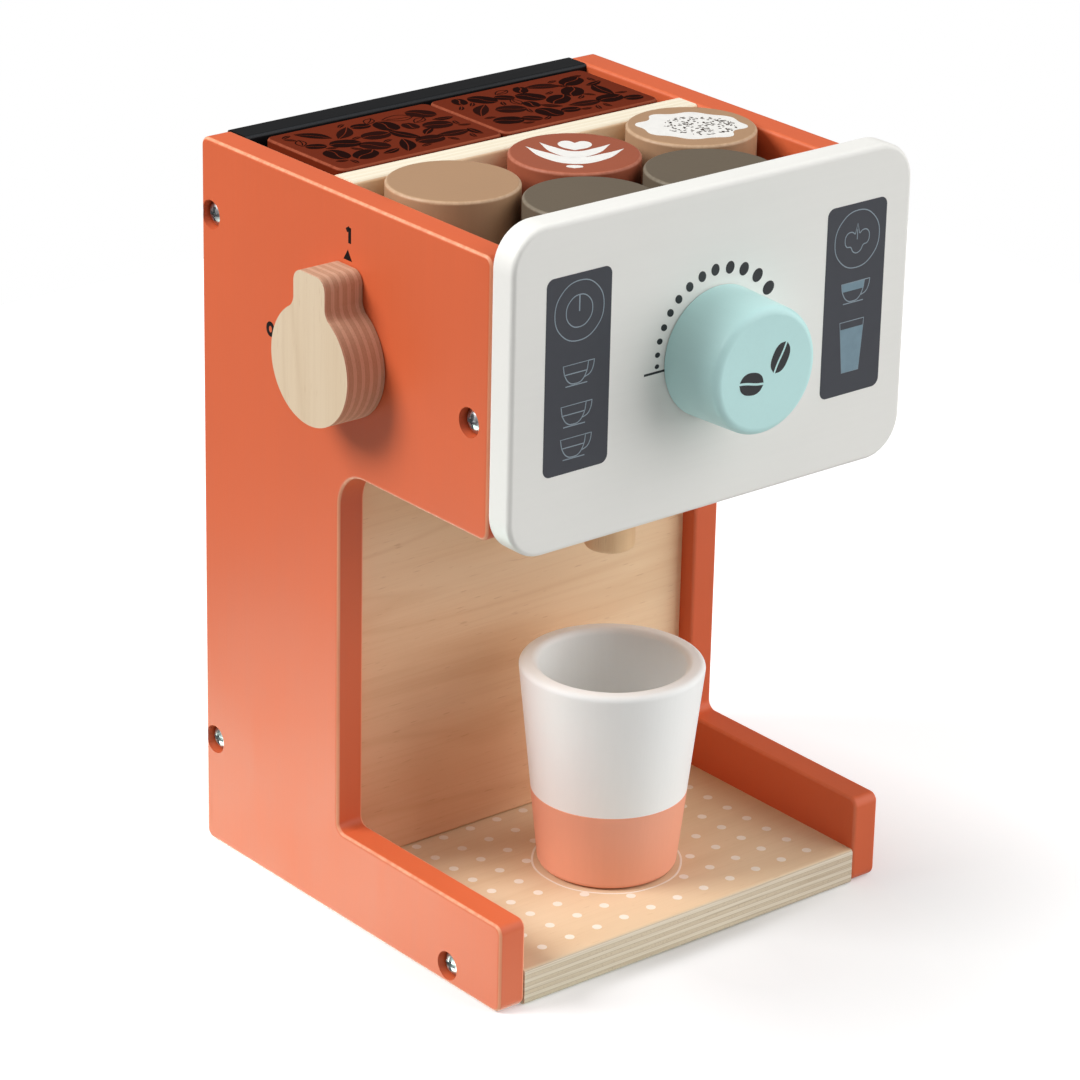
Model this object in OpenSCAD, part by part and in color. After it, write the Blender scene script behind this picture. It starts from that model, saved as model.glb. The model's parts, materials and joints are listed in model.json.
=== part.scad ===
// Toy coffee maker in painted and plain plywood: a case of boards, two turning
// knobs, a cup in the bay, five drink cylinders and two bean blocks in its trays.
// X runs left to right as seen from the front, -Y is the front, Z is up, and the
// origin is the middle of the base board's underside. The case is sized from the
// loose pieces outwards, so the trays always fit what they hold.

/* [Drinks] */
// Diameter of a drink cylinder
drink_d = 41; // [36:0.5:48]
// Height of a drink cylinder
drink_h = 50; // [40:1:60]
// Space between neighbours in the back row of three
drink_space = 6; // [3:0.5:12]
// Space between the nested back row and front row
nest_gap = 2; // [1:0.25:5]
// Space between a drink and the walls of its tray
drink_gap = 0.5; // [0.4:0.1:2]
// Radius on the edges of a drink
drink_edge_r = 1.2; // [0.5:0.1:3]

/* [Bean blocks] */
// Length of a bean block, left to right
block_l = 63; // [50:1:72]
// Depth of a bean block, front to back
block_d = 40; // [30:1:55]
// Height of a bean block
block_h = 47.5; // [36:0.5:56]
// Space between the two blocks
block_gap = 0.6; // [0.4:0.1:3]
// Space in front of and behind the blocks
block_play = 2.5; // [0.5:0.25:6]
// Least space beside the pair of blocks
block_end_gap = 1; // [0.5:0.25:6]
// Radius of a block's upright corners
block_corner_r = 3; // [2.5:0.25:6]
// Radius on the other edges of a block
block_edge_r = 1; // [0.4:0.1:1.5]

/* [Case] */
// Height of the side boards
case_h = 240; // [230:1:280]
// Thickness of the side, front, back and inner boards
board_t = 10; // [9:0.5:14]
// Thickness of the base board
base_t = 12; // [10:0.5:18]
// Thickness of the two tray floors
floor_t = 10; // [9:0.5:14]
// Depth of the trays below the top of the side boards
tray_depth = 48; // [40:1:60]
// Radius of a side board's outer corners
side_corner_r = 3; // [2.5:0.25:8]
// Radius that softens the edges of the boards
edge_r = 1.2; // [0.4:0.1:1.5]

/* [Cup bay] */
// Height of the feet in front of the uprights
foot_h = 29.5; // [24:0.5:50]
// Height of the underside of the head in the side boards
bay_top = 152; // [135:1:158]
// Depth of the uprights, front to back
upright_w = 71; // [68:1:90]
// Radius of the bay's upper inner corner
bay_corner_r = 12; // [4:1:24]
// Radius of the bay's lower inner corner
foot_corner_r = 3; // [2:0.5:10]

/* [Front panel] */
// How far the panel rises above the side boards
panel_rise = 10; // [4:1:20]
// How far the panel hangs below the head
panel_drop = 4; // [0:0.5:12]
// Radius of the panel's corners
panel_corner_r = 13; // [6:0.5:16]
// Radius on the panel's edges
panel_edge_r = 1.6; // [0.6:0.1:3]

/* [Spout] */
// Diameter of the spout
spout_d = 16; // [12:0.5:24]
// Length of the spout below the tray floor
spout_l = 62; // [40:1:75]
// Depth of the spout's seat in the floor board
spout_seat = 6; // [4:0.5:8]
// Distance of the spout's middle in front of the inner wall
spout_out = 42.5; // [30:0.5:52]
// Radius on the spout's lower edge
spout_edge_r = 1.5; // [0.5:0.1:4]

/* [Cup] */
// Height of the cup
cup_h = 70; // [50:1:90]
// Diameter of the cup's foot
cup_base_d = 44.2; // [38:0.2:50]
// Diameter over the rim
cup_rim_d = 58.6; // [52:0.2:70]
// Diameter of the mouth inside the rim
cup_mouth_d = 46.8; // [42:0.2:47.5]
// Depth of the hollow
cup_depth = 54; // [30:1:58]
// Slope of the hollow's wall from upright, in degrees
cup_inside_slope = 3.5; // [0:0.25:5]
// Radius where the hollow's wall meets its floor
cup_inside_r = 8; // [3:0.5:12]
// Radius on the foot's edge
cup_foot_r = 2; // [0.5:0.25:5]
// Distance of the cup's middle in front of the inner wall
cup_out = 45.5; // [36:0.5:50]

/* [Side knob] */
// Diameter of the round part
knob_d = 38; // [30:0.5:46]
// Thickness of the knob
knob_t = 14; // [11:0.5:20]
// Distance from the knob's middle to the pointer's tip
pointer_reach = 29; // [26:0.5:36]
// Width of the pointer
pointer_w = 15.5; // [10:0.5:20]
// Radius of the pointer's two corners
pointer_corner_r = 4; // [1:0.5:5]
// Radius of the hollows beside the pointer
pointer_neck_r = 5; // [2:0.5:10]
// Distance of the knob's middle behind the middle of the case
knob_shift = 1.3; // [-12:0.1:1.5]
// Distance of the knob's middle below the top of the case
knob_drop = 50; // [34:0.5:54]

/* [Front dial] */
// Diameter of the dial at the panel
dial_d = 41.2; // [34:0.2:46]
// Diameter of the dial near its face
dial_face_d = 39.6; // [33:0.2:46]
// Length of the dial
dial_l = 22; // [14:0.5:30]
// Radius on the edge of the dial's face
dial_edge_r = 2.5; // [0.5:0.25:5]
// Distance of the dial's middle to the right of the panel's middle
dial_shift = 0.5; // [-6:0.5:6]
// Distance of the dial's middle below the top of the case
dial_drop = 42; // [30:0.5:54]

/* [Turning parts] */
// Diameter of the wooden axles
axle_d = 10; // [8:0.5:12]
// Radial clearance of an axle in its board
running_gap = 0.05; // [0.03:0.01:0.1]
// Gap between a knob and its board, and between washer and board
end_play = 0.3; // [0.2:0.05:0.5]
// Depth of the glued axle seat in a knob
axle_seat = 9; // [5:0.5:10]
// Diameter of the pocket behind the board
pocket_d = 19; // [17:0.5:20]
// Depth of the pocket behind the board
pocket_depth = 4; // [3.6:0.1:5]
// Diameter of the retaining washer
washer_d = 16; // [13:0.5:16.5]
// Thickness of the retaining washer
washer_t = 1.2; // [0.8:0.1:1.4]
// Shank diameter of the axle screw
axle_screw_d = 3.5; // [2.5:0.25:4]
// Shank length of the axle screw
axle_screw_l = 13; // [10:0.5:14]
// Head diameter of the axle screw
axle_head_d = 7; // [6:0.25:8]
// Head height of the axle screw
axle_head_h = 1.9; // [1.4:0.1:1.9]

/* [Screws] */
// Shank diameter of the case screws
screw_d = 4; // [3:0.25:5]
// Shank length of the case screws
screw_l = 30; // [20:1:40]
// Head diameter of the case screws
screw_head_d = 8; // [7:0.25:9]
// Head height of the case screws
screw_head_h = 3; // [2:0.1:3.4]
// Diameter of the counterbores
counterbore_d = 9.4; // [9.2:0.1:12]
// Depth of the counterbores
counterbore_depth = 4; // [3.5:0.1:5]
// Distance of the upper rear screws below the top
rear_screw_drop = 24.5; // [12:0.5:40]
// Height of the lower rear screws
rear_screw_rise = 36.5; // [25:0.5:60]
// Distance of the head's front screws behind the front panel
head_screw_inset = 9; // [8:0.5:20]
// Distance of the base board's screws behind its front edge
base_screw_inset = 25.5; // [10:0.5:60]

/* [Dowels] */
// Diameter of the dowels
dowel_d = 6; // [4:0.5:6]
// Length of the dowels
dowel_l = 16; // [14:1:24]
// Depth of the dowel holes in the side boards and the panel
dowel_seat = 6; // [4:0.5:7]
// Radial room for glue round dowels, spout and screws
glue_gap = 0.05; // [0.02:0.01:0.1]
// Height of the inner wall's lower dowels
wall_dowel_low = 50; // [40:1:90]
// Height of the inner wall's upper dowels
wall_dowel_high = 140; // [110:1:160]
// Distance of the drinks floor's dowels behind the front panel
floor_dowel_inset = 36; // [25:1:45]
// Distance of the panel's dowels from the top and bottom of the head
panel_dowel_inset = 18; // [12:0.5:24]

/* [Hidden] */
$fn = 72;

orange = "#e07a52";
cream = "#d8d7d2";
black = "#2c2d2e";
birch = "#e2cba8";
turquoise = "#b4d1cc";
tan_paint = "#b89878";
rust = "#b05f46";
umber = "#736a60";
bean_brown = "#7a3a26";
steel = "#b9bcc0";

seat_gap = 0.2;                 // a loose piece stands this far off the board below it
over = 1;                       // cutters run this far past a face
hole_end = 1;                   // a drilled hole is this much deeper than its dowel or screw

// widths, from the loose pieces outwards
drinks_w = 3 * drink_d + 2 * drink_space + 2 * drink_gap;
blocks_w = 2 * block_l + block_gap + 2 * block_end_gap;
tray_w = max(drinks_w, blocks_w);
case_w = tray_w + 2 * board_t;
drink_x = tray_w / 2 - drink_gap - drink_d / 2;

// depths, from the front face to the back face
row_step = sqrt(pow(drink_d + nest_gap, 2) - pow(drink_x / 2, 2));
drinks_tray_d = drink_d + row_step + 2 * drink_gap;
beans_tray_d = block_d + 2 * block_play;
case_d = drinks_tray_d + beans_tray_d + 3 * board_t;
front_y = -case_d / 2;
back_y = case_d / 2;
panel_back_y = front_y + board_t;
wall_front_y = panel_back_y + drinks_tray_d;
wall_back_y = wall_front_y + board_t;
back_in_y = wall_back_y + beans_tray_d;
drink_back_y = wall_front_y - drink_gap - drink_d / 2;
drink_front_y = panel_back_y + drink_gap + drink_d / 2;
block_y = (wall_back_y + back_in_y) / 2;
spout_y = wall_front_y - spout_out;
cup_y = wall_front_y - cup_out;
upright_y = back_y - upright_w;

// heights
floor_top_z = case_h - tray_depth;
floor_z = floor_top_z - floor_t;
knob_z = case_h - knob_drop;
dial_z = case_h - dial_drop;

// where screws go through a side board, as [y, z]
screw_spots = [
    [back_y - board_t / 2, case_h - rear_screw_drop],
    [back_y - board_t / 2, rear_screw_rise],
    [panel_back_y + head_screw_inset, floor_z + floor_t / 2],
    [front_y + base_screw_inset, base_t / 2]];

// where dowels go into a side board, as [y, z]
wall_dowel_spots = [
    [wall_front_y + board_t / 2, wall_dowel_low],
    [wall_front_y + board_t / 2, wall_dowel_high]];
floor_dowel_spots = [
    [panel_back_y + floor_dowel_inset, floor_z + floor_t / 2],
    [block_y, floor_z + floor_t / 2]];
panel_dowel_heights = [bay_top + panel_dowel_inset, case_h - panel_dowel_inset];

// Edge of a plate in section: length l, thickness t, both outer corners rounded by r
module edge_section(l, t, r) {
    square([l - r, t]);
    translate([0, r]) square([l, t - 2 * r]);
    translate([l - r, r]) circle(r);
    translate([l - r, t - r]) circle(r);
}

// Plate centred on the origin, w by h, standing from z 0 to t, with corners of radius
// c and softened edges of radius r
module soft_plate(w, h, t, c, r) {
    in_w = w - 2 * c;
    in_h = h - 2 * c;
    translate([-in_w / 2, -in_h / 2, 0]) cube([in_w, in_h, t]);
    for (side = [0, 180]) rotate(side) {
        translate([in_w / 2, in_h / 2, 0]) rotate([90, 0, 0]) linear_extrude(in_h) edge_section(c, t, r);
        translate([-in_w / 2, in_h / 2, 0]) rotate([90, 0, 90]) linear_extrude(in_w) edge_section(c, t, r);
        translate([in_w / 2, in_h / 2, 0]) rotate_extrude(angle = 90) edge_section(c, t, r);
        translate([-in_w / 2, in_h / 2, 0]) rotate(90) rotate_extrude(angle = 90) edge_section(c, t, r);
    }
}

// Quarter ring that fills an inner corner of radius c, its arc edge softened like the plates
module corner_fill(c, t, r) {
    reach = 1.5 * c + r;
    rotate_extrude(angle = 90) translate([c + reach, 0]) mirror([1, 0]) edge_section(reach, t, r);
}

// Turned cylinder of diameter d standing on z 0, both edges rounded by r
module turned(d, h, r) {
    rotate_extrude() edge_section(d / 2, h, r);
}

// Rectangle from the origin with corners of radius r
module soft_rect(w, h, r) {
    translate([r, 0]) square([w - 2 * r, h]);
    translate([0, r]) square([w, h - 2 * r]);
    for (x = [r, w - r]) for (y = [r, h - r]) translate([x, y]) circle(r);
}

// Board across the case between two [y, z] corners: long edges softened, ends square
module cross_board(low, high) {
    size = high - low;
    translate([-tray_w / 2, low.x, low.y]) rotate([90, 0, 90])
        linear_extrude(tray_w) soft_rect(size.x, size.y, edge_r);
}

// Holes along X through both ends of a cross board, for screws or dowels
module end_holes(spots, d, tip_x) {
    for (side = [-1, 1]) for (p = spots) translate([side * tip_x, p.x, p.y])
        rotate([0, side * 90, 0]) cylinder(h = case_w, d = d);
}

module screw_pilots() {
    end_holes(screw_spots, screw_d + 2 * glue_gap,
        case_w / 2 - counterbore_depth - screw_l - hole_end);
}

module dowel_pilots(spots) {
    end_holes(spots, dowel_d + 2 * glue_gap,
        case_w / 2 - board_t + dowel_seat - dowel_l - hole_end);
}

// Section of a side board between two [y, z] corners, lying in YZ at the left face
module side_part(low, high) {
    size = high - low;
    mid = (low + high) / 2;
    translate([-case_w / 2, mid.x, mid.y]) rotate([90, 0, 90])
        soft_plate(size.x, size.y, board_t, side_corner_r, edge_r);
}

// Filled inner corner of the bay round [y, z], turned by the given angle
module side_fill(centre, c, turn) {
    translate([-case_w / 2, centre.x, centre.y]) rotate([90, 0, 90]) rotate(turn)
        corner_fill(c, board_t, edge_r);
}

// One side board at the left: foot, upright and head round the cup bay
module side_board() {
    difference() {
        union() {
            side_part([front_y, 0], [back_y, foot_h]);
            side_part([upright_y, 0], [back_y, case_h]);
            side_part([panel_back_y, bay_top], [back_y, case_h]);
            side_fill([upright_y - bay_corner_r, bay_top - bay_corner_r], bay_corner_r, 0);
            side_fill([upright_y - foot_corner_r, foot_h + foot_corner_r], foot_corner_r, -90);
        }
        for (p = screw_spots) translate([-case_w / 2 - over, p.x, p.y]) rotate([0, 90, 0]) {
            cylinder(h = counterbore_depth + over, d = counterbore_d);
            cylinder(h = board_t + 2 * over, d = screw_d + 2 * glue_gap);
        }
        for (p = concat(wall_dowel_spots, floor_dowel_spots))
            translate([-case_w / 2 + board_t - dowel_seat, p.x, p.y]) rotate([0, 90, 0])
                cylinder(h = dowel_seat + over, d = dowel_d + 2 * glue_gap);
        panel_dowel_holes();
    }
}

// Dowel holes along Y that join the front panel to both side boards
module panel_dowel_holes() {
    for (side = [-1, 1]) for (z = panel_dowel_heights)
        translate([side * (case_w - board_t) / 2, panel_back_y - dowel_seat, z]) rotate([-90, 0, 0])
            cylinder(h = dowel_l + hole_end, d = dowel_d + 2 * glue_gap);
}

// Frame of a turning part: +Z points out of its board, z 0 is the board's outer face
module at_knob() {
    translate([-case_w / 2, knob_shift, knob_z]) rotate([0, -90, 0]) children();
}

module at_dial() {
    translate([dial_shift, front_y, dial_z]) rotate([90, 0, 0]) children();
}

// Running bore and hidden pocket that a turning part needs in its board
module turning_cut() {
    translate([0, 0, -board_t - over]) cylinder(h = board_t + 2 * over, d = axle_d + 2 * running_gap);
    translate([0, 0, -board_t - over]) cylinder(h = pocket_depth + over, d = pocket_d);
}

// Seat of the glued axle in a knob or dial
module axle_socket() {
    translate([0, 0, end_play - over]) cylinder(h = axle_seat + over, d = axle_d + 2 * glue_gap);
}

axle_end = -(board_t - pocket_depth) - end_play;

module axle() {
    difference() {
        translate([0, 0, axle_end]) cylinder(h = axle_seat + end_play - axle_end, d = axle_d);
        translate([0, 0, axle_end - over])
            cylinder(h = axle_screw_l - washer_t + hole_end + over, d = axle_screw_d + 2 * glue_gap);
    }
}

module washer() {
    translate([0, 0, axle_end - washer_t]) difference() {
        cylinder(h = washer_t, d = washer_d);
        translate([0, 0, -over]) cylinder(h = washer_t + 2 * over, d = axle_screw_d + 4 * glue_gap);
    }
}

// Pan head screw: head below z 0 with its crown towards -Z, shank of length l above
module pan_screw(d, l, head_d, head_h) {
    tip = d / 2;
    rim = 0.45 * head_h;
    crown = head_h - rim;
    ball_r = (pow(head_d / 2, 2) + pow(crown, 2)) / (2 * crown);
    slot_w = 0.16 * head_d;
    slot_l = 0.58 * head_d;
    slot_h = 0.55 * head_h;
    cylinder(h = l - tip, d = d);
    translate([0, 0, l - tip]) cylinder(h = tip, d1 = d, d2 = 0.2 * d);
    difference() {
        translate([0, 0, -head_h]) cylinder(h = head_h, d = head_d);
        translate([0, 0, -head_h]) rotate_extrude() difference() {
            translate([0, -over]) square([head_d / 2 + over, crown + over]);
            translate([0, ball_r]) circle(ball_r);
        }
        translate([-slot_l / 2, -slot_w / 2, -head_h - over]) cube([slot_l, slot_w, slot_h + over]);
        translate([-slot_w / 2, -slot_l / 2, -head_h - over]) cube([slot_w, slot_l, slot_h + over]);
    }
}

module axle_screw() {
    translate([0, 0, axle_end - washer_t])
        pan_screw(axle_screw_d, axle_screw_l, axle_head_d, axle_head_h);
}

module left_side() {
    color(orange) difference() {
        side_board();
        at_knob() turning_cut();
    }
}

module right_side() {
    color(orange) mirror([1, 0, 0]) side_board();
}

module front_panel() {
    color(cream) difference() {
        translate([0, panel_back_y, (bay_top - panel_drop + case_h + panel_rise) / 2]) rotate([90, 0, 0])
            soft_plate(case_w, case_h + panel_rise - bay_top + panel_drop, board_t, panel_corner_r, panel_edge_r);
        panel_dowel_holes();
        at_dial() turning_cut();
    }
}

module back_panel() {
    color(black) difference() {
        cross_board([back_in_y, 0], [back_y, case_h]);
        screw_pilots();
    }
}

module inner_wall() {
    color(birch) difference() {
        cross_board([wall_front_y, base_t], [wall_back_y, case_h]);
        dowel_pilots(wall_dowel_spots);
    }
}

module base_board() {
    color(birch) difference() {
        cross_board([front_y, 0], [back_in_y, base_t]);
        screw_pilots();
    }
}

module drinks_floor() {
    color(birch) difference() {
        cross_board([panel_back_y, floor_z], [wall_front_y, floor_top_z]);
        screw_pilots();
        dowel_pilots(floor_dowel_spots);
        translate([0, spout_y, floor_z - over]) cylinder(h = spout_seat + over, d = spout_d + 2 * glue_gap);
    }
}

module beans_floor() {
    color(birch) difference() {
        cross_board([wall_back_y, floor_z], [back_in_y, floor_top_z]);
        dowel_pilots(floor_dowel_spots);
    }
}

module spout() {
    color(birch) translate([0, spout_y, floor_z - spout_l])
        turned(spout_d, spout_l + spout_seat, spout_edge_r);
}

module left_screws() {
    color(steel) for (p = screw_spots) translate([-case_w / 2 + counterbore_depth, p.x, p.y])
        rotate([0, 90, 0]) pan_screw(screw_d, screw_l, screw_head_d, screw_head_h);
}

module right_screws() {
    mirror([1, 0, 0]) left_screws();
}

// Dowels along X at both sides, half in the side board and half in the cross board
module side_dowels(spots) {
    color(birch) for (side = [-1, 1]) for (p = spots)
        translate([side * (case_w / 2 - board_t + dowel_seat), p.x, p.y]) rotate([0, -side * 90, 0])
            cylinder(h = dowel_l, d = dowel_d);
}

module wall_dowels() {
    side_dowels(wall_dowel_spots);
}

module floor_dowels() {
    side_dowels(floor_dowel_spots);
}

module panel_dowels() {
    color(birch) for (side = [-1, 1]) for (z = panel_dowel_heights)
        translate([side * (case_w - board_t) / 2, panel_back_y - dowel_seat, z]) rotate([-90, 0, 0])
            cylinder(h = dowel_l, d = dowel_d);
}

// Outline of the neck between the side knob's disc and its pointer, with two hollow sides.
// Each hollow bites a hair into the disc and the pointer, so that they cross cleanly.
module neck_outline(neck_x, neck_y) {
    difference() {
        polygon([[0, 0], [neck_x, neck_y], [neck_x, -neck_y]]);
        for (side = [-1, 1]) translate([neck_x, side * neck_y]) circle(pointer_neck_r);
    }
}

// Outline of the pointer from the given distance to its tip, with round corners
module pointer_outline(start) {
    end = pointer_reach - pointer_corner_r;
    half_w = pointer_w / 2;
    translate([start, -half_w]) square([end - start, pointer_w]);
    translate([end, -half_w + pointer_corner_r])
        square([pointer_corner_r, pointer_w - 2 * pointer_corner_r]);
    for (side = [-1, 1]) translate([end, side * (half_w - pointer_corner_r)]) circle(pointer_corner_r);
}

module knob_solid() {
    bite = 0.02;
    lap = 1;
    neck_y = pointer_w / 2 + pointer_neck_r - bite;
    neck_x = sqrt(pow(knob_d / 2 + pointer_neck_r - bite, 2) - pow(neck_y, 2));
    cylinder(h = knob_t, d = knob_d);
    linear_extrude(knob_t) neck_outline(neck_x, neck_y);
    linear_extrude(knob_t) pointer_outline(neck_x - lap);
}

module side_knob() {
    color(birch) at_knob() difference() {
        translate([0, 0, end_play]) knob_solid();
        axle_socket();
    }
}

module knob_axle() {
    color(birch) at_knob() axle();
}

module knob_washer() {
    color(steel) at_knob() washer();
}

module knob_screw() {
    color(steel) at_knob() axle_screw();
}

// Half section of the dial: tapered side, rounded edge round the face
module dial_section() {
    slope = atan((dial_d - dial_face_d) / 2 / dial_l);
    edge_x = dial_d / 2 - dial_edge_r * cos(slope)
        - (dial_l - dial_edge_r + dial_edge_r * sin(slope)) * tan(slope);
    edge_z = dial_l - dial_edge_r;
    side_end = [edge_x + dial_edge_r * cos(slope), edge_z + dial_edge_r * sin(slope)];
    polygon([[0, 0], [dial_d / 2, 0], side_end, [edge_x, edge_z], [edge_x, dial_l], [0, dial_l]]);
    translate([edge_x, edge_z]) circle(dial_edge_r);
}

module dial() {
    color(turquoise) at_dial() difference() {
        translate([0, 0, end_play]) rotate_extrude() dial_section();
        axle_socket();
    }
}

module dial_axle() {
    color(birch) at_dial() axle();
}

module dial_washer() {
    color(steel) at_dial() washer();
}

module dial_screw() {
    color(steel) at_dial() axle_screw();
}

// Half section of the cup: foot edge, sloping wall, full round rim and rounded hollow.
// Each arc touches its straight neighbours without a corner.
module cup_section() {
    rim_r = (cup_rim_d - cup_mouth_d) / 4;
    rim_x = (cup_rim_d + cup_mouth_d) / 4;
    rim_z = cup_h - rim_r;
    out_slope = atan((rim_x + rim_r - cup_base_d / 2) / rim_z);
    in_slope = cup_inside_slope;
    rim_out = [rim_x + rim_r * cos(out_slope), rim_z - rim_r * sin(out_slope)];
    rim_in = [rim_x - rim_r * cos(in_slope), rim_z + rim_r * sin(in_slope)];
    foot_x = rim_out.x - (rim_out.y - cup_foot_r * (1 - sin(out_slope))) * tan(out_slope)
        - cup_foot_r * cos(out_slope);
    foot_out = [foot_x + cup_foot_r * cos(out_slope), cup_foot_r * (1 - sin(out_slope))];
    floor_h = cup_h - cup_depth;
    hollow_top = floor_h + cup_inside_r * (1 - sin(in_slope));
    hollow_x = rim_in.x - (rim_in.y - hollow_top) * tan(in_slope) - cup_inside_r * cos(in_slope);
    difference() {
        polygon([[0, 0], [foot_x, 0], [foot_x, cup_foot_r], foot_out, rim_out, [rim_x, rim_z], rim_in,
            [hollow_x + cup_inside_r * cos(in_slope), hollow_top],
            [hollow_x, floor_h + cup_inside_r], [hollow_x, floor_h], [0, floor_h]]);
        translate([hollow_x, floor_h + cup_inside_r]) circle(cup_inside_r);
    }
    translate([foot_x, cup_foot_r]) circle(cup_foot_r);
    translate([rim_x, rim_z]) circle(rim_r);
}

module cup() {
    color(cream) translate([0, cup_y, base_t + seat_gap]) rotate_extrude() cup_section();
}

module drink(x, y) {
    translate([x, y, floor_top_z + seat_gap]) turned(drink_d, drink_h, drink_edge_r);
}

module drink_plain() {
    color(tan_paint) drink(-drink_x, drink_back_y);
}

module drink_leaf() {
    color(rust) drink(0, drink_back_y);
}

module drink_foam() {
    color(tan_paint) drink(drink_x, drink_back_y);
}

module drink_dark_left() {
    color(umber) drink(-drink_x / 2, drink_front_y);
}

module drink_dark_right() {
    color(umber) drink(drink_x / 2, drink_front_y);
}

module bean_block(side) {
    translate([side * (block_l + block_gap) / 2, block_y, floor_top_z + seat_gap])
        soft_plate(block_l, block_d, block_h, block_corner_r, block_edge_r);
}

module bean_block_left() {
    color(bean_brown) bean_block(-1);
}

module bean_block_right() {
    color(bean_brown) bean_block(1);
}

left_side();
right_side();
front_panel();
back_panel();
inner_wall();
base_board();
drinks_floor();
beans_floor();
spout();
left_screws();
right_screws();
wall_dowels();
floor_dowels();
panel_dowels();
side_knob();
knob_axle();
knob_washer();
knob_screw();
dial();
dial_axle();
dial_washer();
dial_screw();
cup();
drink_plain();
drink_leaf();
drink_foam();
drink_dark_left();
drink_dark_right();
bean_block_left();
bean_block_right();
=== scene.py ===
import bmesh
import bpy
import json
import math
import random
from mathutils import Matrix, Vector


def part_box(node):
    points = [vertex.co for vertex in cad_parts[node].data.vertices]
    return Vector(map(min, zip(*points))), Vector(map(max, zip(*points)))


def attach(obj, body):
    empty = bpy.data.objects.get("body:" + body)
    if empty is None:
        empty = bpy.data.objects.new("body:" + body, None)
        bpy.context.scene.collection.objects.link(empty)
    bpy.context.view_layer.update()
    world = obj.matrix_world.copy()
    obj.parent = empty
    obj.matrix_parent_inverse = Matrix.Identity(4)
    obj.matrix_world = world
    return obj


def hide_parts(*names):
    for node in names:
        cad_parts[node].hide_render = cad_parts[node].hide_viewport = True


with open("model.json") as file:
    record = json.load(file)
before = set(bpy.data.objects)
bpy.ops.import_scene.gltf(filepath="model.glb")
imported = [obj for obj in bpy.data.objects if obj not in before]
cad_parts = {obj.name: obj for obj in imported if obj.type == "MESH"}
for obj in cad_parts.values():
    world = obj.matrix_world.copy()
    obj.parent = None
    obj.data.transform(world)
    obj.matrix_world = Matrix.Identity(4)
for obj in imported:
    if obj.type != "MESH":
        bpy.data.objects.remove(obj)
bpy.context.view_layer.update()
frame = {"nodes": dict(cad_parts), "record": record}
print("frame loaded:", len(frame["nodes"]), "parts")

slotOfNode = {part["node"]: part["material_slot"] for part in frame["record"]["subparts"]}


def nodeBox(node):  # lowest and highest corner of a CAD part, in millimetres
    low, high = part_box(node)
    return low * 1000, high * 1000


def linear(value):  # 0 to 255 as seen on screen, to the linear value that a shader takes
    return value / 255 / 12.92 if value < 10 else ((value / 255 + 0.055) / 1.055) ** 2.4


def srgb(red, green, blue):
    return tuple(linear(value) for value in (red, green, blue))


def shaded(color, factor):
    return tuple(min(1.0, value * factor) for value in color)


# small helpers for the material nodes

def startMaterial(name):
    material = bpy.data.materials.new(name)
    material.use_nodes = True
    tree = material.node_tree
    coords = tree.nodes.new("ShaderNodeTexCoord")
    return material, tree, tree.nodes["Principled BSDF"], coords.outputs


def mapped(tree, vector, scale, place=(0, 0, 0)):
    mapping = tree.nodes.new("ShaderNodeMapping")
    mapping.inputs["Scale"].default_value = scale
    mapping.inputs["Location"].default_value = place
    tree.links.new(vector, mapping.inputs["Vector"])
    return mapping.outputs["Vector"]


def axesOf(tree, vector):
    split = tree.nodes.new("ShaderNodeSeparateXYZ")
    tree.links.new(vector, split.inputs[0])
    return split.outputs


def farFrom(tree, vector, place):  # distance of each point from one place
    node = tree.nodes.new("ShaderNodeVectorMath")
    node.operation = "DISTANCE"
    node.inputs[1].default_value = place
    tree.links.new(vector, node.inputs[0])
    return node.outputs["Value"]


def noise(tree, vector, scale, detail=3, roughness=0.55, distortion=0.0):
    texture = tree.nodes.new("ShaderNodeTexNoise")
    settings = {"Scale": scale, "Detail": detail, "Roughness": roughness, "Distortion": distortion}
    for key, number in settings.items():
        texture.inputs[key].default_value = number
    tree.links.new(vector, texture.inputs["Vector"])
    return texture.outputs["Fac"]


def ranged(tree, value, fromLow, fromHigh, toLow, toHigh):
    node = tree.nodes.new("ShaderNodeMapRange")
    settings = {"From Min": fromLow, "From Max": fromHigh, "To Min": toLow, "To Max": toHigh}
    for key, number in settings.items():
        node.inputs[key].default_value = number
    tree.links.new(value, node.inputs["Value"])
    return node.outputs[0]


def combine(tree, operation, first, second=0.0):
    node = tree.nodes.new("ShaderNodeMath")
    node.operation = operation
    for socket, value in zip(node.inputs, (first, second)):
        if isinstance(value, (int, float)):
            socket.default_value = value
        else:
            tree.links.new(value, socket)
    return node.outputs[0]


def mixed(tree, factor, first, second, blend="MIX"):
    node = tree.nodes.new("ShaderNodeMix")
    node.data_type, node.blend_type = "RGBA", blend
    tree.links.new(factor, node.inputs[0])
    for socket, value in ((node.inputs[6], first), (node.inputs[7], second)):
        if isinstance(value, tuple):
            socket.default_value = (*value[:3], 1)
        else:
            tree.links.new(value, socket)
    return node.outputs[2]


def surface(tree, shader, color, pattern, rough, gloss, height, depth, strength):
    # the pattern moves the roughness between two values, and the height is a bump in metres
    tree.links.new(color, shader.inputs["Base Color"])
    tree.links.new(ranged(tree, pattern, 0.3, 0.7, *rough), shader.inputs["Roughness"])
    shader.inputs["Specular IOR Level"].default_value = gloss
    bump = tree.nodes.new("ShaderNodeBump")
    bump.inputs["Strength"].default_value = strength
    bump.inputs["Distance"].default_value = depth
    tree.links.new(height, bump.inputs["Height"])
    tree.links.new(bump.outputs["Normal"], shader.inputs["Normal"])


def alongGrain(axis, across, along):  # scale of a pattern that is stretched along one axis
    return tuple(along if i == axis else across for i in range(3))


# camera, lights and floor

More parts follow.
